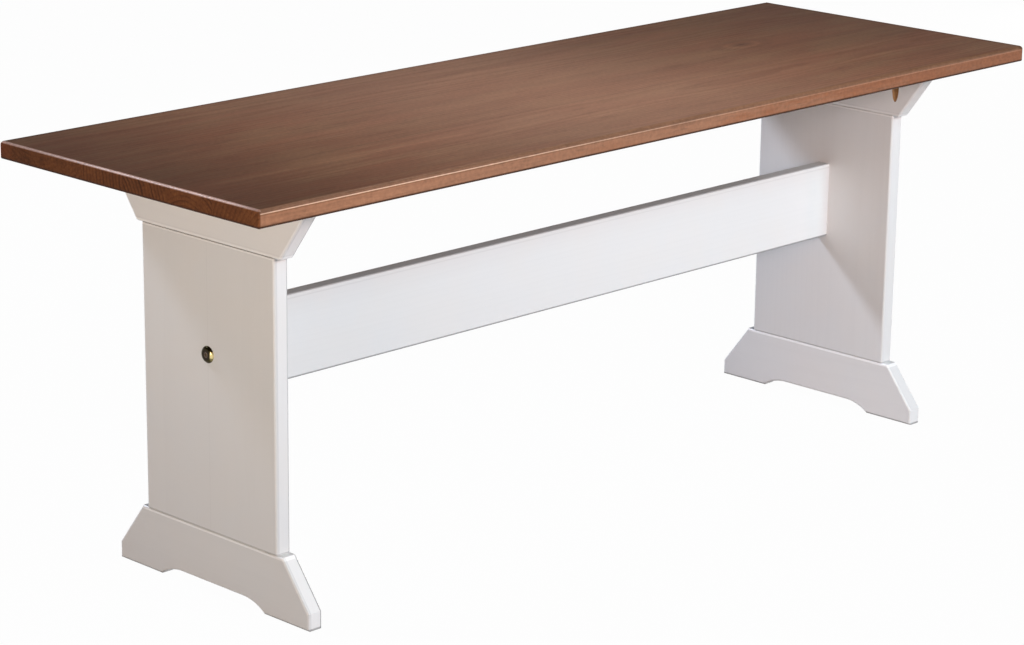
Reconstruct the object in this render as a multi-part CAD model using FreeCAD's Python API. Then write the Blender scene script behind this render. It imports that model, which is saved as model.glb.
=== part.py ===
import FreeCAD, Part
import math
import os

# Trestle bench in solid pine: a stained seat board on two painted trestles, tied by a stretcher.
# Millimetres. X runs along the bench, Y from front to back, Z up from the floor.
# The origin is on the floor, under the middle of the seat.

# Seat board, glued up from staves that lie side by side
seat_length = 1175.0
seat_depth = 390.0
seat_height = 450.0
seat_thickness = 18.0
seat_stave_count = 6
seat_top_radius = 3.5
seat_bottom_radius = 1.5
seat_corner_radius = 2.0
end_overhang = 100.0

# Trestles: bearer, panel and foot have one thickness and are flush on both faces
trestle_thickness = 18.0
edge_radius = 2.5

# Upright panel, glued up from staves with their grain upright
panel_width = 200.0
panel_stave_count = 2

# Bearer under the seat: a trapezium that widens upwards
bearer_height = 64.0
bearer_reveal = 8.0
bearer_splay = 47.0
bearer_corner_radius = 3.0

# Foot on the floor: a trapezium that widens downwards, relieved between two pads
foot_height = 67.0
foot_reveal = 8.0
foot_splay = 38.0
foot_end_height = 18.0
foot_pad_length = 66.0
foot_relief_rise = 10.5
foot_relief_radius = 55.0

# Stretcher board between the trestles
stretcher_height = 89.0
stretcher_thickness = 18.0
stretcher_bottom = 207.0

# Glued wooden dowels in the trestle joints and loose ones at the stretcher's ends
dowel_diameter = 8.0
dowel_chamfer = 1.0
dowel_glue_gap = 0.1
dowel_end_gap = 1.0
dowels_per_joint = 4
panel_dowel_depth = 20.0
bearer_dowel_depth = 20.0
foot_dowel_depth = 20.0
stretcher_dowel_depth = 20.0
stretcher_dowel_edge = 16.0
panel_skin_at_dowel = 6.0

# Connector bolt with a round head that is domed outside its flat face, and the barrel nut that it draws up
bolt_diameter = 6.0
bolt_length = 60.0
bolt_end_chamfer = 0.8
bolt_head_diameter = 17.5
bolt_head_height = 2.8
bolt_head_edge = 0.5
bolt_face_diameter = 10.4
bolt_socket_flats = 4.0
bolt_socket_depth = 2.0
bolt_hole_clearance = 0.3
bolt_end_room = 3.0
bolt_past_nut = 1.0
nut_diameter = 10.0
nut_recess = 2.0
nut_bore_gap = 0.1
nut_thread_gap = 0.05
nut_slot_width = 1.2
nut_slot_depth = 1.5

# Seat screws in pockets that are bored at a slant into the bearers' inner faces
pocket_diameter = 9.5
pocket_angle = 15.0
pocket_end_inset = 6.0
pocket_axis_inset = 7.4
pocket_run_out = 60.0
screw_web = 13.0
screw_seat_depth = 12.0
screw_diameter = 4.0
screw_tip_length = 3.0
screw_tip_diameter = 1.0
screw_head_diameter = 8.0
screw_head_height = 2.2
screw_head_radius = 0.8
screw_slot_width = 1.0
screw_slot_length = 4.4
screw_slot_depth = 1.1
screw_clearance = 0.25
screw_thread_gap = 0.05

# Heights and faces that the pieces share
seat_underside = seat_height - seat_thickness
bearer_bottom = seat_underside - bearer_height
outer_face = seat_length / 2 - end_overhang
inner_face = outer_face - trestle_thickness
trestle_middle = (inner_face + outer_face) / 2
bearer_bottom_half = panel_width / 2 + bearer_reveal
bearer_top_half = bearer_bottom_half + bearer_splay
foot_top_half = panel_width / 2 + foot_reveal
foot_half = foot_top_half + foot_splay
stretcher_middle = stretcher_bottom + stretcher_height / 2
bolt_hole_radius = bolt_diameter / 2 + bolt_hole_clearance
nut_from_end = bolt_length - trestle_thickness - bolt_past_nut - nut_diameter / 2

# How far a cutting tool runs past the face that it opens, and what counts as on a plane
cut_margin = 2.0
plane_tolerance = 0.001

UP = FreeCAD.Vector(0, 0, 1)
ALONG = FreeCAD.Vector(1, 0, 0)
BACK = FreeCAD.Vector(0, 1, 0)


def box(low, high):
    size = [high[i] - low[i] for i in range(3)]
    return Part.makeBox(*size, FreeCAD.Vector(*low))


def rod(start, direction, length, diameter):
    return Part.makeCylinder(diameter / 2, length, start, direction)


def edges_where(shape, wanted):
    return [edge for edge in shape.Edges if wanted(edge.BoundBox)]


def flat_at(low, high, place):
    return abs(low - place) < plane_tolerance and abs(high - place) < plane_tolerance


def board(outline):
    """A trestle board: an outline in the YZ plane, as thick as the trestle."""
    face = Part.Face(Part.Wire(outline))
    return face.extrude(ALONG * trestle_thickness)


def outline_edges(shape, highest=seat_height):
    """The edges round both faces of a trestle board, up to a height."""
    def wanted(room):
        on_face = flat_at(room.XMin, room.XMax, inner_face) or flat_at(room.XMin, room.XMax, outer_face)
        return on_face and room.ZMin < highest - plane_tolerance
    return edges_where(shape, wanted)


def straight(points):
    """Straight edges from point to point, given as Y and Z on the trestle's inner face."""
    corners = [FreeCAD.Vector(inner_face, y, z) for y, z in points]
    return [Part.makeLine(a, b) for a, b in zip(corners, corners[1:])]


def spread(width, count):
    """Evenly spaced places across a width, one in the middle of each share."""
    return [width * ((i + 0.5) / count - 0.5) for i in range(count)]


def staves(whole, width, count):
    """The staves of a glued board, from front to back."""
    room = whole.BoundBox
    made = []
    for middle in spread(width, count):
        half = width / count / 2
        low = (room.XMin - cut_margin, middle - half, room.ZMin - cut_margin)
        high = (room.XMax + cut_margin, middle + half, room.ZMax + cut_margin)
        made.append(whole.common(box(low, high)))
    return made


def dowel(middle, direction, near_depth, far_depth):
    """A dowel that reaches into both pieces, from a point on the joint's face."""
    near = near_depth - dowel_end_gap
    far = far_depth - dowel_end_gap
    pin = rod(middle - direction * near, direction, near + far, dowel_diameter)
    rims = [edge for edge in pin.Edges if isinstance(edge.Curve, Part.Circle)]
    return pin.makeChamfer(dowel_chamfer, rims)


def dowel_hole(middle, direction, near_depth, far_depth):
    bore = dowel_diameter + 2 * dowel_glue_gap
    return rod(middle - direction * near_depth, direction, near_depth + far_depth, bore)


def upright_dowel_places(height):
    return [FreeCAD.Vector(trestle_middle, y, height) for y in spread(panel_width, dowels_per_joint)]


def stretcher_dowel_places():
    reach = stretcher_height / 2 - stretcher_dowel_edge
    return [FreeCAD.Vector(inner_face, 0, stretcher_middle + side * reach) for side in (-1, 1)]


def bearer_dowel_holes():
    places = upright_dowel_places(bearer_bottom)
    return [dowel_hole(place, UP, panel_dowel_depth, bearer_dowel_depth) for place in places]


def foot_dowel_holes():
    places = upright_dowel_places(foot_height)
    return [dowel_hole(place, UP, foot_dowel_depth, panel_dowel_depth) for place in places]


def stretcher_dowel_holes():
    depth = trestle_thickness - panel_skin_at_dowel
    places = stretcher_dowel_places()
    return [dowel_hole(place, ALONG, stretcher_dowel_depth, depth) for place in places]


def screw_direction():
    slant = math.radians(pocket_angle)
    return FreeCAD.Vector(math.sin(slant), 0, math.cos(slant))


def screw_exits():
    """Where the seat screws pass from the bearer into the seat."""
    reach = bearer_bottom_half - pocket_end_inset
    return [FreeCAD.Vector(inner_face + pocket_axis_inset, side * reach, seat_underside) for side in (-1, 1)]


def pocket_cutters(leaving):
    direction = screw_direction()
    shoulder = leaving - direction * screw_web
    pocket = rod(shoulder, direction * -1, pocket_run_out, pocket_diameter)
    hole_start = shoulder - direction * cut_margin
    hole = rod(hole_start, direction, screw_web + 2 * cut_margin, screw_diameter + 2 * screw_clearance)
    return [pocket, hole]


def pilot_hole(leaving):
    direction = screw_direction()
    start = leaving - direction * cut_margin
    depth = cut_margin + screw_seat_depth + screw_thread_gap
    return rod(start, direction, depth, screw_diameter + 2 * screw_thread_gap)


def turned(shape):
    """The same piece at the other end: both trestles are alike, turned half round."""
    copy = shape.copy()
    copy.rotate(FreeCAD.Vector(0, 0, 0), UP, 180)
    return copy


def make_seat():
    half_length = seat_length / 2
    half_depth = seat_depth / 2
    seat = box((-half_length, -half_depth, seat_underside), (half_length, half_depth, seat_height))
    corners = edges_where(seat, lambda room: room.ZLength > seat_thickness - plane_tolerance)
    seat = seat.makeFillet(seat_corner_radius, corners)
    rim = edges_where(seat, lambda room: flat_at(room.ZMin, room.ZMax, seat_underside))
    seat = seat.makeFillet(seat_bottom_radius, rim)
    rim = edges_where(seat, lambda room: flat_at(room.ZMin, room.ZMax, seat_height))
    seat = seat.makeFillet(seat_top_radius, rim)
    holes = [pilot_hole(place) for place in screw_exits()]
    holes += [turned(hole) for hole in holes]
    return staves(seat.cut(holes), seat_depth, seat_stave_count)


def make_bearer():
    outline = straight([
        (-bearer_bottom_half, bearer_bottom),
        (bearer_bottom_half, bearer_bottom),
        (bearer_top_half, seat_underside),
        (-bearer_top_half, seat_underside),
        (-bearer_bottom_half, bearer_bottom),
    ])
    bearer = board(outline)
    corners = edges_where(bearer, lambda room: flat_at(room.ZMin, room.ZMax, bearer_bottom)
                          and room.YLength < plane_tolerance)
    bearer = bearer.makeFillet(bearer_corner_radius, corners)
    bearer = bearer.makeFillet(edge_radius, outline_edges(bearer, highest=seat_underside))
    cutters = bearer_dowel_holes()
    for leaving in screw_exits():
        cutters += pocket_cutters(leaving)
    return bearer.cut(cutters)


def make_panel():
    half = panel_width / 2
    panel = box((inner_face, -half, foot_height), (outer_face, half, bearer_bottom))
    tall = bearer_bottom - foot_height - plane_tolerance
    panel = panel.makeFillet(edge_radius, edges_where(panel, lambda room: room.ZLength > tall))
    hole_start = FreeCAD.Vector(inner_face - cut_margin, 0, stretcher_middle)
    hole = rod(hole_start, ALONG, trestle_thickness + 2 * cut_margin, 2 * bolt_hole_radius)
    cutters = bearer_dowel_holes() + foot_dowel_holes() + stretcher_dowel_holes() + [hole]
    return staves(panel.cut(cutters), panel_width, panel_stave_count)


def relief_edges():
    """The foot's underside between its pads: a straight middle with a round shoulder at each end."""
    run = math.sqrt(2 * foot_relief_radius * foot_relief_rise - foot_relief_rise ** 2)
    start = foot_half - foot_pad_length
    flat = start - run
    turn = math.asin(run / foot_relief_radius)
    centre = foot_relief_rise - foot_relief_radius
    half_y = flat + foot_relief_radius * math.sin(turn / 2)
    half_z = centre + foot_relief_radius * math.cos(turn / 2)

    def point(y, z):
        return FreeCAD.Vector(inner_face, y, z)
    left = Part.Arc(point(-start, 0), point(-half_y, half_z), point(-flat, foot_relief_rise))
    right = Part.Arc(point(flat, foot_relief_rise), point(half_y, half_z), point(start, 0))
    middle = Part.makeLine(point(-flat, foot_relief_rise), point(flat, foot_relief_rise))
    return [left.toShape(), middle, right.toShape()]


def make_foot():
    start = foot_half - foot_pad_length
    outline = straight([(-foot_half, 0), (-start, 0)]) + relief_edges()
    outline += straight([
        (start, 0),
        (foot_half, 0),
        (foot_half, foot_end_height),
        (foot_top_half, foot_height),
        (-foot_top_half, foot_height),
        (-foot_half, foot_end_height),
        (-foot_half, 0),
    ])
    foot = board(outline)
    foot = foot.makeFillet(edge_radius, outline_edges(foot))
    return foot.cut(foot_dowel_holes())


def make_stretcher():
    half = stretcher_thickness / 2
    top = stretcher_bottom + stretcher_height
    stretcher = box((-inner_face, -half, stretcher_bottom), (inner_face, half, top))
    long_edges = edges_where(stretcher, lambda room: room.XLength > 2 * inner_face - plane_tolerance)
    stretcher = stretcher.makeFillet(edge_radius, long_edges)
    depth = bolt_length - trestle_thickness + bolt_end_room
    bore_start = FreeCAD.Vector(inner_face - depth, 0, stretcher_middle)
    bolt_bore = rod(bore_start, ALONG, depth + cut_margin, 2 * bolt_hole_radius)
    ends = stretcher_dowel_holes() + [bolt_bore]
    ends += [turned(cutter) for cutter in ends]
    for side in (-1, 1):
        front = FreeCAD.Vector(side * (inner_face - nut_from_end), nut_recess - half, stretcher_middle)
        ends.append(rod(front, BACK, stretcher_thickness, nut_diameter + 2 * nut_bore_gap))
    return stretcher.cut(ends)


def make_upright_dowels(height, near_depth, far_depth):
    return [dowel(place, UP, near_depth, far_depth) for place in upright_dowel_places(height)]


def make_stretcher_dowels():
    depth = trestle_thickness - panel_skin_at_dowel
    return [dowel(place, ALONG, stretcher_dowel_depth, depth) for place in stretcher_dowel_places()]


def bolt_head():
    """A flat round face with a domed shoulder, turned about the bolt's axis."""
    face_reach = bolt_face_diameter / 2
    head_reach = bolt_head_diameter / 2
    run = head_reach - face_reach
    drop = bolt_head_height - bolt_head_edge
    bend = math.atan(drop / run)
    radius = (run ** 2 + drop ** 2) / (2 * drop)

    def point(reach, rise):
        return FreeCAD.Vector(outer_face + rise, 0, stretcher_middle + reach)
    face_end = point(face_reach, bolt_head_height)
    halfway = point(face_reach + radius * math.sin(bend), bolt_head_height - radius * (1 - math.cos(bend)))
    rim = point(head_reach, bolt_head_edge)
    profile = [
        Part.makeLine(point(0, 0), point(0, bolt_head_height)),
        Part.makeLine(point(0, bolt_head_height), face_end),
        Part.Arc(face_end, halfway, rim).toShape(),
        Part.makeLine(rim, point(head_reach, 0)),
        Part.makeLine(point(head_reach, 0), point(0, 0)),
    ]
    return Part.Face(Part.Wire(profile)).revolve(point(0, 0), ALONG, 360)


def make_bolt():
    seat = FreeCAD.Vector(outer_face, 0, stretcher_middle)
    head = bolt_head()
    face = outer_face + bolt_head_height
    shank = rod(seat, ALONG * -1, bolt_length, bolt_diameter)
    end = outer_face - bolt_length
    tip = edges_where(shank, lambda room: flat_at(room.XMin, room.XMax, end))
    shank = shank.makeChamfer(bolt_end_chamfer, tip)
    corner = bolt_socket_flats / 2 / math.cos(math.pi / 6)
    floor = face - bolt_socket_depth
    angles = [math.pi / 6 + i * math.pi / 3 for i in range(6)]
    turns = [(corner * math.cos(angle), stretcher_middle + corner * math.sin(angle)) for angle in angles]
    ring = [FreeCAD.Vector(floor, y, z) for y, z in turns]
    socket = Part.Face(Part.makePolygon(ring + ring[:1])).extrude(ALONG * (bolt_socket_depth + cut_margin))
    return head.fuse(shank).cut(socket).removeSplitter()


def make_nut(side):
    half = stretcher_thickness / 2 - nut_recess
    middle = side * (inner_face - nut_from_end)
    nut = rod(FreeCAD.Vector(middle, -half, stretcher_middle), BACK, 2 * half, nut_diameter)
    bore_start = FreeCAD.Vector(middle - nut_diameter, 0, stretcher_middle)
    bore = rod(bore_start, ALONG, 2 * nut_diameter, bolt_diameter + 2 * nut_thread_gap)
    low = (middle - nut_diameter, half - nut_slot_depth, stretcher_middle - nut_slot_width / 2)
    high = (middle + nut_diameter, half + cut_margin, stretcher_middle + nut_slot_width / 2)
    return nut.cut([bore, box(low, high)])


def make_screw(leaving):
    """A seat screw, drawn upright at the origin and then laid on its slant in the pocket."""
    length = screw_web + screw_seat_depth
    head = rod(FreeCAD.Vector(0, 0, -screw_head_height), UP, screw_head_height, screw_head_diameter)
    rim = edges_where(head, lambda room: flat_at(room.ZMin, room.ZMax, -screw_head_height))
    head = head.makeFillet(screw_head_radius, rim)
    body = rod(FreeCAD.Vector(0, 0, 0), UP, length - screw_tip_length, screw_diameter)
    tip_start = FreeCAD.Vector(0, 0, length - screw_tip_length)
    tip = Part.makeCone(screw_diameter / 2, screw_tip_diameter / 2, screw_tip_length, tip_start, UP)
    screw = head.fuse([body, tip]).removeSplitter()
    long_half = screw_slot_length / 2
    thin_half = screw_slot_width / 2
    low_z = -screw_head_height - cut_margin
    high_z = -screw_head_height + screw_slot_depth
    slots = [box((-long_half, -thin_half, low_z), (long_half, thin_half, high_z))]
    slots.append(box((-thin_half, -long_half, low_z), (thin_half, long_half, high_z)))
    screw = screw.cut(slots)
    screw.rotate(FreeCAD.Vector(0, 0, 0), BACK, pocket_angle)
    screw.translate(leaving - screw_direction() * screw_web)
    return screw


def save(name, solids):
    """One file for each node; alike fasteners at one joint share a node as separate solids."""
    shape = solids[0] if len(solids) == 1 else Part.makeCompound(solids)
    shape.exportStep(os.path.join("parts", name + ".step"))


def save_both_ends(name, solids):
    save("right_" + name, solids)
    save("left_" + name, [turned(solid) for solid in solids])


os.makedirs("parts", exist_ok=True)

for number, stave in enumerate(make_seat(), 1):
    save(f"seat_stave_{number}", [stave])

save_both_ends("bearer", [make_bearer()])
for number, stave in enumerate(make_panel(), 1):
    save_both_ends(f"panel_stave_{number}", [stave])
save_both_ends("foot", [make_foot()])
save("stretcher", [make_stretcher()])

save_both_ends("bearer_dowels", make_upright_dowels(bearer_bottom, panel_dowel_depth, bearer_dowel_depth))
save_both_ends("foot_dowels", make_upright_dowels(foot_height, foot_dowel_depth, panel_dowel_depth))
save_both_ends("stretcher_dowels", make_stretcher_dowels())
save_both_ends("connector_bolt", [make_bolt()])
save("right_barrel_nut", [make_nut(1)])
save("left_barrel_nut", [make_nut(-1)])
save_both_ends("seat_screws", [make_screw(place) for place in screw_exits()])
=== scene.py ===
import math

import bmesh
import bpy
from mathutils import Matrix, Vector


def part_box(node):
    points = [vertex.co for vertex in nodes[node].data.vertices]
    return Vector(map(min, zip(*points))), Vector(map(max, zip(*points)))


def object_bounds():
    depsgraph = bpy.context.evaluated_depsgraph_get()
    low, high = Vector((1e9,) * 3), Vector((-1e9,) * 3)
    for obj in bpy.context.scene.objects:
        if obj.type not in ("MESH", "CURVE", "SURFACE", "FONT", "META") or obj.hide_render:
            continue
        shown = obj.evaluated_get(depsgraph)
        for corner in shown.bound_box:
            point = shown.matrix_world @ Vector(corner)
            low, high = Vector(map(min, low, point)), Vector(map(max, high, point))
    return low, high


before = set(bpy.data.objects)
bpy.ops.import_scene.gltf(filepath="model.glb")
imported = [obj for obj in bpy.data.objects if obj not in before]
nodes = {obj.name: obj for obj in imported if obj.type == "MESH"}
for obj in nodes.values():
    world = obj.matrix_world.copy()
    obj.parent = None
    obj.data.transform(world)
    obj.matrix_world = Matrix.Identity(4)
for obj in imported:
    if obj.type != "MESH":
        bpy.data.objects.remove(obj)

print("frame loaded")
cadLow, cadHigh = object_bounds()


# A node socket that takes part in python sums: each operator adds the Math node that it stands for
class Wire:
    def __init__(self, tree, socket):
        self.tree = tree
        self.socket = socket

    def node(self, kind, settings=None, links=None, out=0):
        made = self.tree.nodes.new(kind)
        for name, value in (settings or {}).items():
            setattr(made, name, value)
        for name, value in (links or {}).items():
            if isinstance(value, Wire):
                self.tree.links.new(value.socket, made.inputs[name])
            else:
                made.inputs[name].default_value = value
        return Wire(self.tree, made.outputs[out] if made.outputs else None)

    def maths(self, operation, first, *rest):
        return self.node("ShaderNodeMath", {"operation": operation}, dict(enumerate((first, *rest))))

    def __add__(self, other):
        return self.maths("ADD", self, other)

    def __radd__(self, other):
        return self.maths("ADD", other, self)

    def __sub__(self, other):
        return self.maths("SUBTRACT", self, other)

    def __rsub__(self, other):
        return self.maths("SUBTRACT", other, self)

    def __mul__(self, other):
        return self.maths("MULTIPLY", self, other)

    def __rmul__(self, other):
        return self.maths("MULTIPLY", other, self)

    def __truediv__(self, other):
        return self.maths("DIVIDE", self, other)

    def __rtruediv__(self, other):
        return self.maths("DIVIDE", other, self)

    def __pow__(self, other):
        return self.maths("POWER", self, other)

    def __rpow__(self, other):
        return self.maths("POWER", other, self)

    def __abs__(self):
        return self.maths("ABSOLUTE", self)


# Small helpers on top of Wire
def split(vector):
    return [vector.node("ShaderNodeSeparateXYZ", links={0: vector}, out=axis) for axis in range(3)]


def vectorMaths(operation, first, *rest, out=0):
    links = dict(enumerate((first, *rest)))
    return first.node("ShaderNodeVectorMath", {"operation": operation}, links, out)


def stretched(vector, stretch, shift=(0, 0, 0)):
    return vector.node("ShaderNodeMapping", links={"Vector": vector, "Scale": stretch, "Location": shift})


def noise(vector, stretch, shift=(0, 0, 0), detail=2.0, roughness=0.5, out=0):
    place = stretched(vector, stretch, shift)
    links = {"Vector": place, "Scale": 1.0, "Detail": detail, "Roughness": roughness}
    return vector.node("ShaderNodeTexNoise", {"noise_dimensions": "3D"}, links, out)


def ease(value, low, high, fromValue=0.0, toValue=1.0):
    settings = {"interpolation_type": "SMOOTHSTEP"}
    links = {"Value": value, "From Min": low, "From Max": high, "To Min": fromValue, "To Max": toValue}
    return value.node("ShaderNodeMapRange", settings, links)


def stripe(value, rise, fall):
    # swells over the first limits and dies away over the second
    return ease(value, *rise) * ease(value, *fall)


def mixed(layers, shares, limits):
    # eases the sum of a few noises, each taken by its share
    return ease(sum(layers[name] * share for name, share in shares.items()), *limits)


def blendColour(factor, first, second):
    first = (*first, 1) if isinstance(first, tuple) else first
    second = (*second, 1) if isinstance(second, tuple) else second
    settings = {"data_type": "RGBA", "blend_type": "MIX", "clamp_factor": True}
    return factor.node("ShaderNodeMix", settings, {0: factor, 6: first, 7: second}, 2)


def shade(colour, factor):
    # brightens or darkens a colour by a number, keeping its hue
    return colour.node("ShaderNodeVectorMath", {"operation": "SCALE"}, {0: colour, "Scale": factor})


def newMaterial(name):
    material = bpy.data.materials.new(name)
    material.use_nodes = True
    tree = material.node_tree
    tree.nodes.clear()
    start = tree.nodes.new("ShaderNodeTexCoord")
    return material, Wire(tree, start.outputs["Object"])


def finishSurface(place, colour, roughness, height, bump, others=None):
    strength, depth = bump
    raised = place.node("ShaderNodeBump", links={"Height": height, "Strength": strength, "Distance": depth})
    links = {"Base Color": colour, "Roughness": roughness, **(others or {}), "Normal": raised}
    surface = place.node("ShaderNodeBsdfPrincipled", links=links)
    place.node("ShaderNodeOutputMaterial", links={"Surface": surface})


def grainStretch(along, lengthwise, crosswise):
    return [lengthwise if axis == along else crosswise for axis in range(3)]


ringShape = {
    "seedShift": (3.7, 1.3, 2.1),  # how far one seed moves the noises, per axis
    "driftAcross": 9.0,
    "driftDetail": 1.5,
    "wobbleAlong": 6.0,
    "wobbleAcross": 60.0,
    "wobble": 0.55,  # in ring widths
}


# Growth rings round the pith, the line that a tree's rings run round. The pith wanders a little.
# Returns how late in its year each point grew, and a tone of its own for each year.
def growthRings(place, along, pith, rings, seed, push=None):
    shift = tuple(seed * part for part in ringShape["seedShift"])
    stretch = grainStretch(along, rings["bends"], ringShape["driftAcross"])
    drifts = split(noise(place, stretch, shift, ringShape["driftDetail"], out=1))
    axes = split(place)
    across = [axis for axis in range(3) if axis != along]
    first = axes[across[0]] - pith[0] + (drifts[across[0]] - 0.5) * rings["wander"]
    second = axes[across[1]] - pith[1] + (drifts[across[1]] - 0.5) * rings["wander"]
    distance = (first * first + second * second) ** 0.5
    stretch = grainStretch(along, ringShape["wobbleAlong"], ringShape["wobbleAcross"])
    wobble = noise(place, stretch, shift)
    years = distance / rings["spacing"] + wobble * ringShape["wobble"]
    if push is not None:
        years = years + push
    part = years.maths("FRACT", years)
    year = years.maths("FLOOR", years)
    tone = place.node("ShaderNodeTexWhiteNoise", {"noise_dimensions": "1D"}, {"W": year + seed})
    return part, tone


# The same place, pushed a little sideways by slow noise, so that grain drawn on it wanders
def wavy(place, bends, seed):
    shift = tuple(seed * part for part in bends["seedShift"])
    drift = noise(place, bends["stretch"], shift, bends["detail"], out=1)
    centred = vectorMaths("SUBTRACT", drift, (0.5, 0.5, 0.5))
    return vectorMaths("ADD", vectorMaths("MULTIPLY", centred, bends["reach"]), place)


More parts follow.
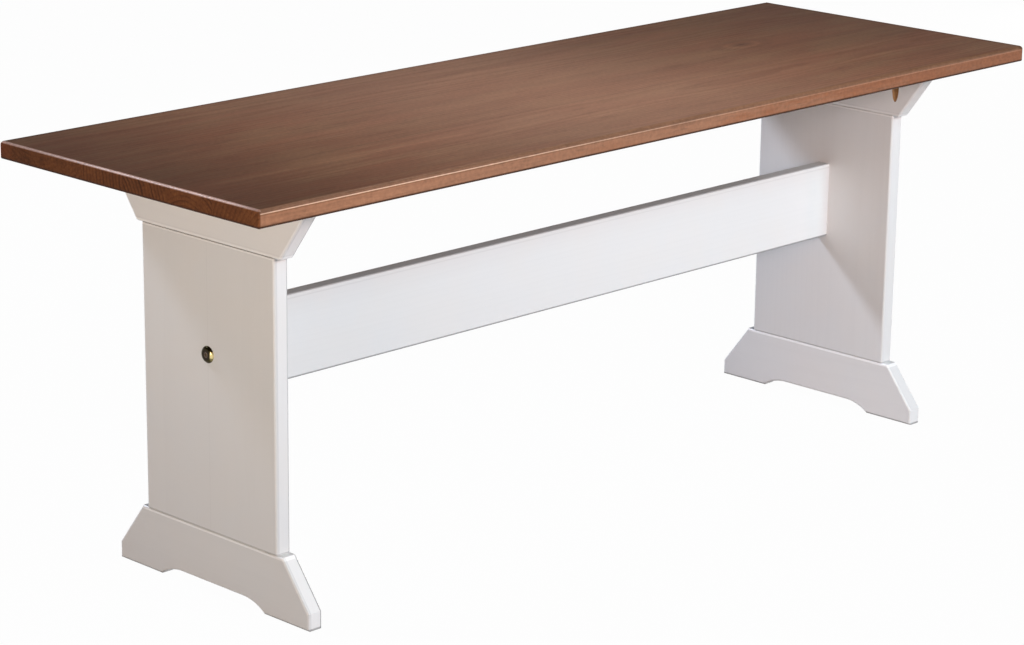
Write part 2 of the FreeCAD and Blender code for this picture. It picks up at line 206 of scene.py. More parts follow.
seatFinish = {
    "colours": {
        "stain": (0.194, 0.081, 0.042),
        "olive": (0.212, 0.097, 0.049),
        "red": (0.210, 0.079, 0.040),
        # the colour of the painted pool of light and sheen in the middle of the top
        "faded": (0.200, 0.104, 0.067),
        # the long edge: partly the stain, partly painted front light that makes it lighter than the top
        "rim": (0.318, 0.147, 0.079),
        "rimDeep": (0.246, 0.086, 0.034),
        "rounded": (0.190, 0.094, 0.053),
        # the painted highlight along the long arris, and the dark line under it
        "arris": (0.680, 0.450, 0.320),
        "arrisLine": (0.190, 0.082, 0.040),
        # the painted highlight along the top of the ends
        "rubbed": (0.480, 0.300, 0.240),
        # painted shade along the underside
        "under": (0.060, 0.025, 0.013),
        "endPale": (0.164, 0.057, 0.018),
        "endDeep": (0.112, 0.036, 0.011),
        "endLine": (0.050, 0.015, 0.004),
        "endCorner": (0.150, 0.042, 0.016),
    },
    "gloss": {"Specular IOR Level": 0.10, "Coat Roughness": 0.24, "Coat IOR": 1.45},
    "coat": 0.5,
    "coatGrain": (0.85, 0.3),  # the least coat, and what a raised fibre adds
    "coatFade": (-0.58, -0.30, 0.35, 1.0),  # thinner lacquer at the left end, by x
    "roughness": {"base": 0.48, "fibre": 0.10, "end": 0.10, "late": 0.03},
    "height": {"fibre": 0.5, "late": 0.35, "fleck": 0.3},
    "bump": (0.18, 0.00012),
    "seedStep": 1.7,
    "rings": {"spacing": 0.0050, "wander": 0.013, "bends": 3.6},
    "late": ((0.30, 0.93), (1.0, 0.955)),  # the part of each year that grows the dark wood
    "ringTone": {"middle": 0.42, "contrast": 0.13, "yearly": 0.02},
    # staves from the front: where the pith ran, behind the stave's middle and above the board's, in metres,
    # how strongly the rings show on the end, the tones of the end, which fall towards the back as painted
    # shade, and the tones of the top
    "staves": [
        {"pith": (-0.062, -0.036), "endContrast": 0.28, "endTone": 1.01, "tone": 1.0},
        {"pith": (0.006, -0.040), "endContrast": 0.55, "endTone": 0.96, "tone": 1.02},
        {"pith": (0.075, -0.036), "endContrast": 0.70, "endTone": 0.93, "tone": 0.98},
        {"pith": (0.110, -0.012), "endContrast": 0.50, "endTone": 0.92, "tone": 1.02},
        {"pith": (0.040, 0.070), "endContrast": 0.12, "endTone": 0.87, "tone": 0.99},
        {"pith": (-0.030, 0.080), "endContrast": 0.15, "endTone": 0.77, "tone": 0.98},
    ],
    # slow sideways bends of the grain, with their reach in metres
    "bends": {
        "stretch": (2.5, 8.0, 8.0),
        "reach": (0.0, 0.012, 0.006),
        "seedShift": (1.0, 2.3, 0.7),
        "detail": 1.5,
    },
    # grain that follows the bends: its stretch, the axes that the seed shifts, detail, roughness
    "grain": {
        "band": ((1.8, 32.0, 32.0), (0, 0, 0), 2.0, 0.6),
        "line": ((2.4, 95.0, 95.0), (1, 0, 0), 2.0, 0.6),
        "streak": ((9.0, 125.0, 125.0), (0, 0, 0), 3.0, 0.6),
        "dash": ((24.0, 210.0, 210.0), (0, 1, 1), 1.0, 0.5),
        "pore": ((34.0, 300.0, 300.0), (1, 1, 0), 1.0, 0.5),
        "fibre": ((95.0, 560.0, 560.0), (0, 0, 0), 3.0, 0.7),
    },
    # unevenness that doesn't follow them, told the same way
    "clouds": {
        "patch": ((6.0, 20.0, 20.0), (0, 1, 0), 2.0, 0.5),
        "mottle": ((16.0, 42.0, 42.0), (1, 0, 1), 2.0, 0.5),
        "speck": ((240.0, 240.0, 240.0), (0, 0, 0), 2.0, 0.6),
        "cells": ((300.0, 420.0, 420.0), (0, 1, 1), 2.0, 0.5),
    },
    # how far each of them lightens or darkens the top
    "weights": {"band": 0.27, "line": 0.19, "streak": 0.17, "mottle": 0.16, "fibre": 0.45, "speck": 0.55},
    "ringsShown": (0.38, 0.60, 0.15, 1.0),  # the rings show in some bands only
    "dash": {"shown": (0.52, 0.70), "between": (0.52, 0.44), "strength": 0.14},
    "fleck": {"shown": (0.68, 0.80), "strength": 0.20},
    # mixes: each noise's share, and the limits of the change
    "oliveMix": ({"patch": 0.7, "streak": 0.3}, (0.42, 0.60)),
    "redMix": ({"patch": 0.5, "streak": 0.5}, (0.58, 0.40)),
    "redAmount": 0.7,
    # the x share darkens the long edge to the right: painted shade
    "rimMix": ({"streak": 0.4, "mottle": 0.3, "fibre": 0.3, "x": 0.35}, (0.42, 0.70)),
    "endMix": ({"cells": 0.5, "mottle": 0.5}, (0.38, 0.62)),
    "endRings": {"uneven": (0.3, 0.6, 0.5, 1.0), "least": 0.40, "yearly": 1.1},
    "brokenMix": ({"streak": 0.5, "fibre": 0.5}, (0.42, 0.54, 0.35, 1.15)),
    # a painted pool of light and sheen that makes the middle of the top lighter and greyer, and painted
    # shade towards the left end and the far right corner, by x and y
    "fadedBand": ((-0.45, -0.10), (0.42, 0.05)),
    "fadedAmount": 0.65,
    "leftDark": (-0.62, -0.30, 0.585, 1.07),
    "cornerDark": {"x": (-0.05, 0.25), "y": (-0.20, 0.14), "amount": 0.23},
    # edges, in metres in from the end, the side, the top or the underside
    "edges": {
        "end": (0.0030, 0.0010),
        "bareEnd": (0.0006, 0.0001),
        "side": (0.0034, 0.0018),
        "rounded": (0.0030, 0.0038),
        # where the painted highlight along the long arris lies, and the dark line under it
        "arris": ((0.0034, 0.0038), (0.0048, 0.0044)),
        "arrisLine": ((0.0045, 0.0049), (0.0062, 0.0056)),
        "arrisLineAmount": 0.7,
        "arrisFade": (0.25, -0.45, 0.15, 0.95),  # by x
        # painted shade along the two far edges of the top
        "farLine": (0.0095, 0.0045),
        "farLineTop": (0.0042, 0.0032),
        "farLineAmount": 0.38,
        # the painted highlight along the top of the ends, where the lacquer is also rubbed thin
        "rubbedEnd": (0.0036, 0.0026),
        "rubbedTop": (0.0022, 0.0013),
        # painted shade along the underside
        "under": (0.0030, 0.0016),
        # by y
        "endCorner": (0.172, 0.184, 0.0, 0.7),
        "wornReach": ((0.19, -0.02), (-0.192, -0.150, 0.35, 1.0)),
        "rubbedReach": ((0.19, -0.02, 0.55, 1.0), (-0.194, -0.155, 0.45, 1.0)),
    },
    # a small knot just under the surface: it pushes the rings aside, and has rings of its own
    "knot": {
        "place": (0.346, 0.030, 0.448),
        "squeeze": 0.5,  # less than 1 draws it out along the seat
        "reach": 0.026,
        "push": 2.4,  # in rings
        "uneven": 0.004,
        # how far out, width, strength
        "rings": [(0.0, 0.0088, -0.32), (0.0125, 0.0026, 0.18), (0.0205, 0.0070, -0.12)],
    },
    # single marks in the grain: stave, where it starts and stops along the seat, its place across it,
    # width, strength
    "strokes": [
        (2, -0.575, -0.200, -0.092, 0.0026, 0.17),
        (2, -0.560, -0.190, -0.1005, 0.0032, -0.13),
        (3, -0.420, 0.180, -0.060, 0.0019, -0.18),
        (5, -0.280, 0.300, 0.0680, 0.0019, -0.18),
        (4, -0.530, -0.180, 0.035, 0.0028, 0.11),
        (6, 0.190, 0.250, 0.1335, 0.0026, -0.30),
        (5, 0.305, 0.395, 0.0715, 0.0030, 0.15),
        (4, 0.330, 0.368, 0.0380, 0.0220, -0.11),
    ],
    "strokeUneven": 0.005,
    "strokeTaper": 0.02,
    "softEdge": 0.3,  # the share of a mark's width that is at full strength
}


def seatLayers(place, bent, finish, seed):
    # every noise of the grain and the clouds, by name
    layers = {}
    for source, group in ((bent, "grain"), (place, "clouds")):
        for name, (stretch, seeded, detail, roughness) in finish[group].items():
            shift = tuple(seed * axis for axis in seeded)
            layers[name] = noise(source, stretch, shift, detail, roughness)
    return layers


def seatMarks(level, layers, x, y, away, number, finish):
    # the knot's own rings and the single strokes, broken up by the grain
    broken = mixed(layers, *finish["brokenMix"])
    knot = finish["knot"]
    uneven = layers["mottle"] - 0.5
    for ring, width, strength in knot["rings"]:
        offRing = abs(away + uneven * knot["uneven"] - ring)
        level = level + ease(offRing, width, width * finish["softEdge"]) * broken * strength
    taper = finish["strokeTaper"]
    for stave, start, stop, across, width, strength in finish["strokes"]:
        if stave == number:
            offLine = abs(y - across + uneven * finish["strokeUneven"])
            within = stripe(x, (start, start + taper), (stop, stop - taper))
            level = level + within * ease(offLine, width, width * finish["softEdge"]) * broken * strength
    return level


def makeStainedPine(number, finish):
    material, place = newMaterial(f"stainedPine{number}")
    colours, edges, knot = finish["colours"], finish["edges"], finish["knot"]
    stave = finish["staves"][number - 1]
    seed = number * finish["seedStep"]
    low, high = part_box(f"seat_stave_{number}")
    behind, above = stave["pith"]
    pith = ((low.y + high.y) / 2 + behind, (low.z + high.z) / 2 + above)
    knotX, knotY, knotZ = knot["place"]
    squeezed = stretched(place, (knot["squeeze"], 1.0, 1.0))
    away = vectorMaths("DISTANCE", squeezed, (knotX * knot["squeeze"], knotY, knotZ), out=1)
    push = ease(away, 0.0, knot["reach"], knot["push"], 0.0)
    part, tone = growthRings(place, 0, pith, finish["rings"], seed, push)
    late = stripe(part, *finish["late"])
    x, y, z = split(place)
    below = cadHigh.z - z
    fromEnd = cadHigh.x - abs(x)
    end = ease(fromEnd, *edges["end"])
    side = ease(cadHigh.y - abs(y), *edges["side"])
    layers = seatLayers(place, wavy(place, finish["bends"], seed), finish, seed)
    layers["x"] = x
    dash = ease(layers["dash"], *finish["dash"]["shown"])
    fleck = ease(layers["pore"], *finish["fleck"]["shown"])

    body = blendColour(mixed(layers, *finish["oliveMix"]), colours["stain"], colours["olive"])
    body = blendColour(mixed(layers, *finish["redMix"]) * finish["redAmount"], body, colours["red"])
    # painted light and sheen: the middle of the top lighter and greyer
    body = blendColour(stripe(x, *finish["fadedBand"]) * finish["fadedAmount"], body, colours["faded"])
    # painted shade: the top darker towards the left end and at the far right corner
    corner = finish["cornerDark"]
    shadedCorner = ease(x, *corner["x"]) * ease(y, *corner["y"]) * corner["amount"]
    body = shade(body, ease(x, *finish["leftDark"]) * (1.0 - shadedCorner))

    # the long edge from the top down: the rounding, a painted highlight along the arris that fades to the
    # right, with a dark line under it, the flat
    # the flat is partly the stain and partly painted front light, and darker to the right as painted shade
    edge = blendColour(mixed(layers, *finish["rimMix"]), colours["rim"], colours["rimDeep"])
    edge = blendColour(ease(below, *edges["rounded"]), colours["rounded"], edge)
    crisp = ease(x, *edges["arrisFade"])
    edge = blendColour(stripe(below, *edges["arris"]) * crisp, edge, colours["arris"])
    line = stripe(below, *edges["arrisLine"]) * crisp * edges["arrisLineAmount"]
    edge = blendColour(line, edge, colours["arrisLine"])
    body = blendColour(side, body, edge)
    # painted shade along the two far edges of the top, where the rounding turns away from the light
    farLine = ease(cadHigh.y - y, *edges["farLine"])
    farLine = farLine.maths("MAXIMUM", farLine, ease(cadHigh.x - x, *edges["farLine"]))
    farLine = farLine * ease(below, *edges["farLineTop"])
    body = shade(body, 1.0 - farLine * edges["farLineAmount"])

    # the end grain, with its rings and a redder back corner
    ends = blendColour(mixed(layers, *finish["endMix"]), colours["endPale"], colours["endDeep"])
    endRings = finish["endRings"]
    yearly = endRings["least"] + tone * endRings["yearly"]
    drawn = late * ease(layers["mottle"], *endRings["uneven"]) * yearly * stave["endContrast"]
    ends = blendColour(drawn, ends, colours["endLine"])
    # painted shade: the end tones fall towards the back
    ends = shade(ends, stave["endTone"])
    ends = blendColour(ease(y, *edges["endCorner"]), ends, colours["endCorner"])
    body = blendColour(end, body, ends)
    # a painted highlight along the top of the ends, where the lacquer is also rubbed thin, and painted
    # shade along the underside
    rubbed = ease(fromEnd, *edges["rubbedEnd"]) * ease(below, *edges["rubbedTop"])
    body = blendColour(rubbed * stripe(y, *edges["rubbedReach"]), body, colours["rubbed"])
    # painted shade along the underside of the edges and the ends
    underShade = ease(z - low.z, *edges["under"]) * side.maths("MAXIMUM", side, end)
    body = blendColour(underShade, body, colours["under"])

    ringTone = finish["ringTone"]
    ringsShown = ease(layers["band"], *finish["ringsShown"])
    level = 1.0 + (ringTone["middle"] - late) * ringsShown * ringTone["contrast"]
    level = level + (tone - 0.5) * ringTone["yearly"]
    for name, weight in finish["weights"].items():
        level = level + (layers[name] - 0.5) * weight
    level = level - dash * ease(layers["streak"], *finish["dash"]["between"]) * finish["dash"]["strength"]
    level = level - fleck * finish["fleck"]["strength"]
    level = seatMarks(level, layers, x, y, away, number, finish)
    body = shade(body, level * stave["tone"])

    fibre = layers["fibre"]
    share = finish["height"]
    height = fibre * share["fibre"] + late * share["late"] - fleck * share["fleck"]
    share = finish["roughness"]
    roughness = share["base"] + (fibre - 0.5) * share["fibre"] + end * share["end"] + late * share["late"]
    # no lacquer on the bare end, on part of the rubbed edge, and on the dark lines
    worn = stripe(y, *edges["wornReach"])
    lacquer = (1.0 - ease(fromEnd, *edges["bareEnd"])) * (1.0 - rubbed * (1.0 - worn))
    lacquer = lacquer * (1.0 - farLine) * (1.0 - underShade)
    leastCoat, raisedCoat = finish["coatGrain"]
    lacquer = lacquer * (leastCoat + fibre * raisedCoat) * ease(x, *finish["coatFade"])
    gloss = {**finish["gloss"], "Coat Weight": lacquer * finish["coat"]}
    finishSurface(place, body, roughness, height, finish["bump"], gloss)
    return material


paintFinish = {
    "warm": (0.800, 0.792, 0.780),
    "cool": (0.792, 0.792, 0.788),
    "rawWood": (0.46, 0.25, 0.10),
    "rawDark": (0.26, 0.12, 0.04),
    "gloss": {"Specular IOR Level": 0.42},
    "roughness": {"base": 0.34, "fibre": 0.10, "brush": 0.08, "late": 0.03, "raw": 0.3},
    "height": {"fibre": 0.30, "late": 0.50, "streak": 0.15, "seam": 0.6},
    "bump": (0.14, 0.00012),
    "rings": {"spacing": 0.0056, "wander": 0.02, "bends": 1.1},
    "late": ((0.5, 0.92), (1.0, 0.96)),
    # noises: stretch along and across the grain, and for the brush marks all ways
    "fibre": (10.0, 600.0),
    "fibreDetail": (3.0, 0.6),
    "streak": (3.0, 60.0),
    "brushMark": 14.0,
    "brushMix": (0.35, 0.65),
    # how far each darkens the paint
    "weights": {"late": 0.008, "fibre": 0.018, "streak": 0.012, "year": 0.004},
    "seam": {"width": (0.0002, 0.0008, 1.0, 0.0), "darker": 0.037},
    # painted light: boards made a little whiter than the others, to stand in for the light that falls on
    # them
    "boardTones": {"left_bearer": 1.08, "right_bearer": 1.05, "right_foot": 1.06},
    # painted shade: darker towards the floor on the outer face, and a painted contact shadow at the floor
    # line, by z and the way it faces
    "dull": {"height": (0.34, 0.0), "facing": (-0.2, -0.7), "amount": 0.13},
    "floorLine": (0.0012, 0.0030, 0.45, 1.0),
    # a foot: a painted highlight band under its top arris, and painted shade on the ledge beside the panel,
    # deeper towards the back
    "foot": {
        "band": ((0.0038, 0.0030), (0.0, 0.0008)),
        "bandAmount": 0.20,
        "ledge": (0.0004, 0.0001),
        "ledgeReach": (0.05, 0.12, 0.1, 0.45),
    },
    # a bearer: a painted highlight band along its bottom, with a faint darker line above it
    "bearer": {
        "band": (0.0034, 0.0026),
        "bandAmount": 0.14,
        "line": ((0.0034, 0.0040), (0.0054, 0.0046)),
        "lineAmount": 0.06,
    },
    # a panel: a painted shade line at the foot, a painted highlight band under the bearer, and painted
    # shade on the front edge, deeper lower down
    "panel": {
        "line": (0.0006, 0.0016, 0.72, 1.0),
        "band": (0.0022, 0.0014),
        "bandAmount": 0.16,
        "edgeFacing": (-0.7, -0.2),
        "edgeHeight": (0.42, 0.05, 0.4, 1.0),
        "edgeAmount": 0.11,
    },
    # the stretcher: painted light that makes it whiter to the right, painted shade on the top under the
    # seat, a faint painted shade line under the top, and a painted shade line along the bottom
    "stretcher": {
        "spread": (-0.46, 0.46, 0.93, 1.04),
        "top": (0.0012, 0.0004, 1.0, 0.66),
        "line": ((0.0054, 0.0046), (0.0032, 0.0040)),
        "lineAmount": 0.07,
        "bottom": (0.0016, 0.0030, 0.45, 1.0),
    },
    # painted shade along the near arris of the other boards, stronger by the shade amount, and a painted
    # shade line on the far one
    "near": {"width": (0.0042, 0.0034), "facing": (-0.95, -0.7), "least": 0.03, "worn": 0.13},
    "far": {"width": (0.0028, 0.0020), "facing": (0.92, 0.7), "panel": 0.30, "other": 0.62},
    # a pocket's bare wood: how far past the bore the paint starts, and the mix of its two tones
    "pocket": {"lip": (0.00005, 0.0003), "mix": ({"fibre": 0.5, "streak": 0.5}, (0.35, 0.65))},
}


def paintMarks(level, board, place, facing, wear, finish):
    # painted light and shade for each kind of board: painted highlight bands, painted shade lines and
    # bands, and a painted contact shadow at the floor line
    low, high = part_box(board)
    x, y, z = split(place)
    above, below = z - low.z, high.z - z
    kind = board.replace("left_", "").replace("right_", "").replace("_stave_1", "")
    marks = finish[kind]
    dull = finish["dull"]
    # painted shade towards the floor on the outer face, by the shade amount
    level = level * (1.0 - ease(z, *dull["height"]) * ease(facing, *dull["facing"]) * wear * dull["amount"])
    # a painted contact shadow along the floor line
    level = level * ease(z, *finish["floorLine"])
    if kind == "foot":
        # a painted highlight band under the top arris
        level = level + stripe(below, *marks["band"]) * marks["bandAmount"]
        # painted shade on the ledge beside the panel, deeper towards the back
        level = level * (1.0 - ease(below, *marks["ledge"]) * ease(y, *marks["ledgeReach"]))
    if kind == "bearer":
        # a painted highlight band along the bottom
        level = level + ease(above, *marks["band"]) * marks["bandAmount"]
        level = level - stripe(above, *marks["line"]) * marks["lineAmount"]
    if kind == "panel":
        # a painted shade line at the foot, and a painted highlight band under the bearer
        level = level * ease(above, *marks["line"])
        level = level + ease(below, *marks["band"]) * marks["bandAmount"]
        # painted shade on the front edge, deeper lower down, by the shade amount
        shadedEdge = ease(facing, *marks["edgeFacing"]) * ease(z, *marks["edgeHeight"])
        level = level * (1.0 - shadedEdge * wear * marks["edgeAmount"])
    if kind == "stretcher":
        # painted light and shade: whiter to the right, a shaded top, and painted shade lines at the top and
        # bottom
        level = level * ease(x, *marks["spread"])
        level = level * ease(below, *marks["top"])
        level = level - stripe(below, *marks["line"]) * marks["lineAmount"]
        return level * ease(above, *marks["bottom"])
    near, far = finish["near"], finish["far"]
    # painted shade along the near arris, and a painted shade line along the far one
    nearShade = ease(x - low.x, *near["width"]) * ease(facing, *near["facing"])
    level = level * (1.0 - nearShade * (near["least"] + wear * near["worn"]))
    farShade = ease(high.x - x, *far["width"]) * ease(facing, *far["facing"])
    return level * (1.0 - farShade * wear * (far["panel"] if kind == "panel" else far["other"]))


# The paint of one board. The shade amount goes from 0 to 1 and sets how much painted shade the board gets,
# and the pockets are bores that show bare wood.
def makePaintedPine(name, board, along, pith, seed, finish, wear=0.0, glueLine=False, pockets=()):
    material, place = newMaterial(name)
    part, tone = growthRings(place, along, pith, finish["rings"], seed)
    late = stripe(part, *finish["late"])
    shift = (seed, seed, seed)
    fibre = noise(place, grainStretch(along, *finish["fibre"]), shift, *finish["fibreDetail"])
    streak = noise(place, grainStretch(along, *finish["streak"]), (seed, 0, seed))
    brushMark = noise(place, [finish["brushMark"]] * 3)
    weights = finish["weights"]
    level = 1.0 - late * weights["late"] + (fibre - 0.5) * weights["fibre"]
    level = level + (streak - 0.5) * weights["streak"] + (tone - 0.5) * weights["year"]
    share = finish["height"]
    height = fibre * share["fibre"] + late * share["late"] + streak * share["streak"]
    if glueLine:
        seam = ease(abs(split(place)[1]), *finish["seam"]["width"])
        level = level - seam * finish["seam"]["darker"]
        height = height - seam * share["seam"]
    facing = split(place.node("ShaderNodeTexCoord", out="Normal"))[0]
    level = paintMarks(level, board, place, facing, wear, finish)
    colour = blendColour(ease(brushMark, *finish["brushMix"]), finish["warm"], finish["cool"])
    # painted light on some boards
    colour = shade(colour, level * finish["boardTones"].get(board, 1.0))
    share = finish["roughness"]
    roughness = share["base"] + (fibre - 0.5) * share["fibre"] + (brushMark - 0.5) * share["brush"]
    roughness = roughness - late * share["late"]
    for axisPoint, axisWay, radius in pockets:
        turned = vectorMaths("CROSS_PRODUCT", vectorMaths("SUBTRACT", place, axisPoint), axisWay)
        distance = vectorMaths("LENGTH", turned, out=1)
        inside = ease(distance, *(radius + lip for lip in finish["pocket"]["lip"]), 1.0, 0.0)
        raw = mixed({"fibre": fibre, "streak": streak}, *finish["pocket"]["mix"])
        colour = blendColour(inside, colour, blendColour(raw, finish["rawDark"], finish["rawWood"]))
        roughness = roughness + inside * share["raw"]
    finishSurface(place, colour, roughness, height, finish["bump"], finish["gloss"])
    return material


brassFinish = {
    "face": (0.046, 0.032, 0.024),
    "faceRing": (0.024, 0.016, 0.008),
    "shoulder": (0.040, 0.031, 0.010),
    # the colour of the painted glint
    "bright": (0.720, 0.600, 0.290),
    "socket": (0.200, 0.150, 0.110),
    "spots": 900.0,
    "spotReach": 0.0012,
    "spotTone": (0.80, 0.4),
    "roughness": {"face": 0.42, "shoulder": 0.14, "spots": 0.12},
    "bump": (0.10, 0.00005),
    # in metres in from the rim
    "ringReach": (0.0062, 0.0040),
    "shoulderReach": (0.0040, 0.0022),
    "socketRadius": (0.0027, 0.0023),
    # the painted glint: how far in front of the middle, then two bands, each with its height and its limits
    "brightFrom": (0.0048, 0.0070),
    "brightBands": [(0.0008, (0.0042, 0.0022, 0.0, 0.75)), (-0.0020, (0.0058, 0.0036, 0.0, 0.25))],
}


def makeAntiqueBrass(name, centre, rimRadius, finish):
    material, place = newMaterial(name)
    y, z = split(place)[1:]
    radius = ((y - centre.y) ** 2 + (z - centre.z) ** 2) ** 0.5
    spots = noise(place, [finish["spots"]] * 3, detail=3.0, roughness=0.6)
    fromRim = rimRadius - (radius + (spots - 0.5) * finish["spotReach"])
    shoulder = ease(fromRim, *finish["shoulderReach"])
    colour = blendColour(ease(fromRim, *finish["ringReach"]), finish["face"], finish["faceRing"])
    colour = blendColour(shoulder, colour, finish["shoulder"])
    # a painted glint on the front of the shoulder, where the highlight falls
    bands = sum(ease(abs(z - centre.z - height), *limits) for height, limits in finish["brightBands"])
    glint = ease(centre.y - y, *finish["brightFrom"]) * bands
    colour = blendColour(glint * shoulder, colour, finish["bright"])
    socket = ease(radius, *finish["socketRadius"])
    colour = blendColour(socket, colour, finish["socket"])
    darkest, lighter = finish["spotTone"]
    colour = shade(colour, darkest + spots * lighter)
    share = finish["roughness"]
    roughness = share["face"] - shoulder * share["shoulder"] + (spots - 0.5) * share["spots"]
    finishSurface(place, colour, roughness, spots, finish["bump"], {"Metallic": 1.0 - socket})
    return material


zincFinish = {
    "bright": (0.62, 0.63, 0.64),
    "dull": (0.42, 0.42, 0.41),
    "spangle": 700.0,
    "spangleMix": (0.35, 0.7),
    "brushed": (60.0, 2500.0, 2500.0),
    "roughness": (0.30, 0.18),
    "bump": (0.12, 0.00004),
}


def makeZinc(finish):
    material, place = newMaterial("zincPlate")
    spangle = noise(place, [finish["spangle"]] * 3, detail=2.0, roughness=0.6)
    brushed = noise(place, finish["brushed"])
    colour = blendColour(ease(spangle, *finish["spangleMix"]), finish["dull"], finish["bright"])
    smooth, rougher = finish["roughness"]
    finishSurface(place, colour, smooth + spangle * rougher, brushed, finish["bump"], {"Metallic": 1.0})
    return material


dowelFinish = {
    "pale": (0.60, 0.42, 0.25),
    "deep": (0.46, 0.29, 0.15),
    "grain": (900.0, 900.0, 40.0),
    "grainMix": (0.35, 0.68),
    "rays": (2200.0, 300.0, 260.0),
    "rayTone": (0.94, 0.12),
    "roughness": (0.62, 0.1),
    "bump": (0.25, 0.00008),
}


def makeBeech(finish):
    material, place = newMaterial("beechDowel")
    grain = noise(place, finish["grain"], detail=3.0, roughness=0.6)
    rays = noise(place, finish["rays"], detail=1.0)
    colour = blendColour(ease(grain, *finish["grainMix"]), finish["pale"], finish["deep"])
    darkest, lighter = finish["rayTone"]
    colour = shade(colour, darkest + rays * lighter)
    smooth, rougher = finish["roughness"]
    finishSurface(place, colour, smooth + grain * rougher, grain, finish["bump"])
    return material


def dress(name, material):
    node = nodes[name]
    node.data.materials.clear()
    node.data.materials.append(material)


for number in range(1, len(seatFinish["staves"]) + 1):
    dress(f"seat_stave_{number}", makeStainedPine(number, seatFinish))
print("seat stained")

# slant in degrees; lengths in metres: the axis from the inner face, the axis from the middle, the bore
pocketShape = {"slant": 15.0, "axisInset": 0.0074, "fromMiddle": 0.102, "diameter": 0.0095}


def pocketAxes(side):
    # the bored pockets of one bearer: a point on each axis, its direction and its radius
    low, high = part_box(f"{side}_panel_stave_1")
    sign = 1 if side == "right" else -1
    innerFace = low.x if side == "right" else high.x
    slant = math.radians(pocketShape["slant"])
    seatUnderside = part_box("seat_stave_3")[0].z
    way = (sign * math.sin(slant), 0, math.cos(slant))
    across = innerFace + sign * pocketShape["axisInset"]
    reach = pocketShape["fromMiddle"]
    points = [(across, depth, seatUnderside) for depth in (-reach, reach)]
    return [(point, way, pocketShape["diameter"] / 2) for point in points]


trestles = {
    "sides": {
        # how much painted shade each trestle gets
        "left": {"seed": 3.1, "wear": 1.0, "glueLine": True},
        "right": {"seed": 7.9, "wear": 0.0, "glueLine": False},
    },
    # the axis that the grain follows, the pith's place on the two others, and what is added to the seed
    "boards": {
        "bearer": (1, (0.0, 0.33), 0.0),
        "panel": (2, (0.40, -0.04), 1.3),
        "foot": (1, (0.0, -0.06), 2.9),
    },
    "stretcher": (0, (-0.03, 0.20), 5.3),
}


def paintTrestle(side, seed, wear, glueLine):
    for kind, (along, pith, extraSeed) in trestles["boards"].items():
        panel = kind == "panel"
        names = [f"{side}_panel_stave_{number}" for number in (1, 2)] if panel else [f"{side}_{kind}"]
        settings = {"wear": wear, "glueLine": panel and glueLine}
        if kind == "bearer":
            settings["pockets"] = pocketAxes(side)
        title = f"{side}{kind.title()}Paint"
        paint = makePaintedPine(title, names[0], along, pith, seed + extraSeed, paintFinish, **settings)
        for name in names:
            dress(name, paint)


for side, settings in trestles["sides"].items():
    paintTrestle(side, **settings)
dress("stretcher", makePaintedPine("stretcherPaint", "stretcher", *trestles["stretcher"], paintFinish))
print("trestles and stretcher painted")

beech = makeBeech(dowelFinish)
zinc = makeZinc(zincFinish)
for side in trestles["sides"]:
    for joint in ("bearer", "foot", "stretcher"):
        dress(f"{side}_{joint}_dowels", beech)
    dress(f"{side}_barrel_nut", zinc)
    dress(f"{side}_seat_screws", zinc)
    bolt = f"{side}_connector_bolt"
    low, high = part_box(bolt)
    dress(bolt, makeAntiqueBrass(f"{side}Brass", (low + high) / 2, (high.z - low.z) / 2, brassFinish))
print("fittings finished")

studio = {
    "floorRadius": 9.0,
    "floorSides": 96,
    "floorColour": (0.35, 0.35, 0.35),
    "floorGlow": 0.98,
    "glowColour": (1.0, 1.0, 1.0),
    "air": (0.03, 0.03, 0.03),
    "skyline": {"whiteBelow": 0.05, "darkAbove": 0.12, "white": 1.0, "dark": 0.02},
    # name: place, aim, size, watts, colour, spread in degrees
    "lamps": {
        "front": ((-0.42, -3.3, 1.6), (0, 0, 0.27), 0.8, 78, (1.0, 0.91, 0.93), 180),
        "frontHigh": ((0.7, -2.9, 2.3), (0, 0, 0.27), 0.8, 51, (0.58, 0.88, 1.0), 180),
        "frontRight": ((1.6, -2.6, 1.5), (0, 0, 0.27), 0.4, 9.3, (1.0, 0.60, 0.49), 180),
        "left": ((-3.3, -0.9, 0.6), (0, 0, 0.27), 1.0, 23, (1.0, 0.66, 0.50), 180),
        "leftNear": ((-1.25, -0.2, 0.42), (-0.4875, 0, 0.38), 0.25, 1.5, (0.98, 1.0, 0.85), 180),
        "right": ((3.1, 1.1, 0.17), (0, 0, 0.27), 0.5, 26, (1.0, 0.93, 0.86), 180),
        "back": ((-0.9, 2.4, 2.4), (0, 0, 0.27), 0.6, 77, (0.77, 0.85, 1.0), 180),
        "over": ((0.02, -0.06, 1.10), (0.02, -0.06, 0.45), 0.3, 0.98, (0.96, 1.0, 1.0), 90),
    },
}


# 1 for rays that show the background: from the camera, in gloss and through glass
def lookedAt(tree):
    path = tree.nodes.new("ShaderNodeLightPath")
    rays = [Wire(tree, path.outputs[f"Is {kind} Ray"]) for kind in ("Camera", "Glossy", "Transmission")]
    return rays[0].maths("MAXIMUM", rays[0], rays[1].maths("MAXIMUM", rays[1], rays[2]))


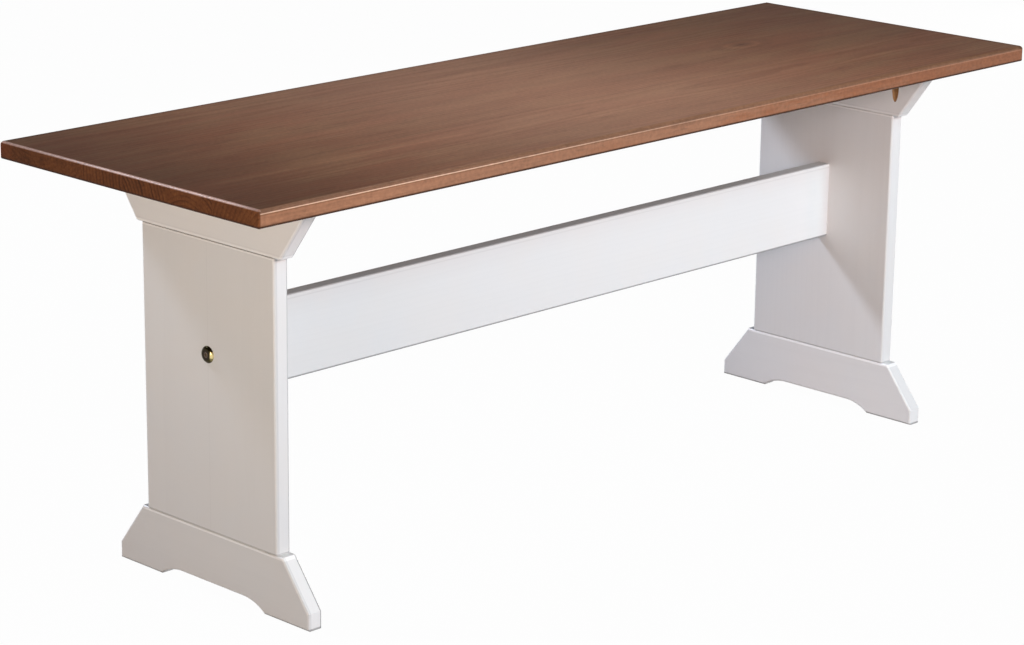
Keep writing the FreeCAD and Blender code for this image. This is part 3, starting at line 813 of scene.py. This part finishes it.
def makeFloor(settings):
    sides, radius = settings["floorSides"], settings["floorRadius"]
    mesh = bmesh.new()
    bmesh.ops.create_circle(mesh, cap_ends=True, segments=sides, radius=radius)
    data = bpy.data.meshes.new("floor")
    mesh.to_mesh(data)
    mesh.free()
    floor = bpy.data.objects.new("floor", data)
    bpy.context.scene.collection.objects.link(floor)
    material = bpy.data.materials.new("studioFloor")
    material.use_nodes = True
    tree = material.node_tree
    tree.nodes.clear()
    shown = lookedAt(tree)
    paper = shown.node("ShaderNodeBsdfDiffuse", links={"Color": (*settings["floorColour"], 1)})
    glowLinks = {"Color": (*settings["glowColour"], 1), "Strength": 1.0}
    glow = shown.node("ShaderNodeEmission", links=glowLinks)
    blend = {0: shown * settings["floorGlow"], 1: paper, 2: glow}
    surface = shown.node("ShaderNodeMixShader", links=blend)
    shown.node("ShaderNodeOutputMaterial", links={"Surface": surface})
    data.materials.append(material)


def makeLamps(settings):
    for name, (place, aim, size, power, colour, spread) in settings["lamps"].items():
        light = bpy.data.lights.new(name, "AREA")
        light.shape = "DISK"
        light.size = size
        light.energy = power
        light.color = colour
        light.spread = math.radians(spread)
        lamp = bpy.data.objects.new(name, light)
        lamp.location = place
        lamp.rotation_euler = (Vector(aim) - Vector(place)).to_track_quat("-Z", "Y").to_euler()
        lamp.visible_camera = False
        bpy.context.scene.collection.objects.link(lamp)


# Soft air light for the object; what the camera and gloss see is white at the skyline and dim overhead
def makeWorld(settings):
    world = bpy.data.worlds.new("studioAir")
    world.use_nodes = True
    tree = world.node_tree
    tree.nodes.clear()
    shown = lookedAt(tree)
    way = shown.node("ShaderNodeTexCoord", out="Generated")
    sky = settings["skyline"]
    height = split(way)[2]
    pale = ease(height, sky["whiteBelow"], sky["darkAbove"], sky["white"], sky["dark"])
    colour = blendColour(shown, settings["air"], pale)
    background = shown.node("ShaderNodeBackground", links={"Color": colour, "Strength": 1.0})
    shown.node("ShaderNodeOutputWorld", links={"Surface": background})
    bpy.context.scene.world = world


view = {
    "place": (-2.3557, -2.2477, 1.1213),
    "yaw": 45.611,
    "pitch": 15.992,
    "roll": 0.695,
    "focalPixels": 3078.2,
    "imageWidth": 1024,
    "sensorWidth": 36.0,
}


def makeCamera(settings):
    data = bpy.data.cameras.new("photographer")
    data.sensor_width = settings["sensorWidth"]
    data.lens = settings["focalPixels"] / settings["imageWidth"] * settings["sensorWidth"]
    camera = bpy.data.objects.new("photographer", data)
    bpy.context.scene.collection.objects.link(camera)
    turn = Matrix.Rotation(-math.radians(settings["yaw"]), 4, "Z")
    turn = turn @ Matrix.Rotation(math.radians(90 - settings["pitch"]), 4, "X")
    turn = turn @ Matrix.Rotation(math.radians(settings["roll"]), 4, "Z")
    camera.matrix_world = Matrix.Translation(settings["place"]) @ turn
    bpy.context.scene.camera = camera


makeFloor(studio)
makeLamps(studio)
makeWorld(studio)
makeCamera(view)
bpy.context.scene.view_settings.view_transform = "Standard"
print("studio set")
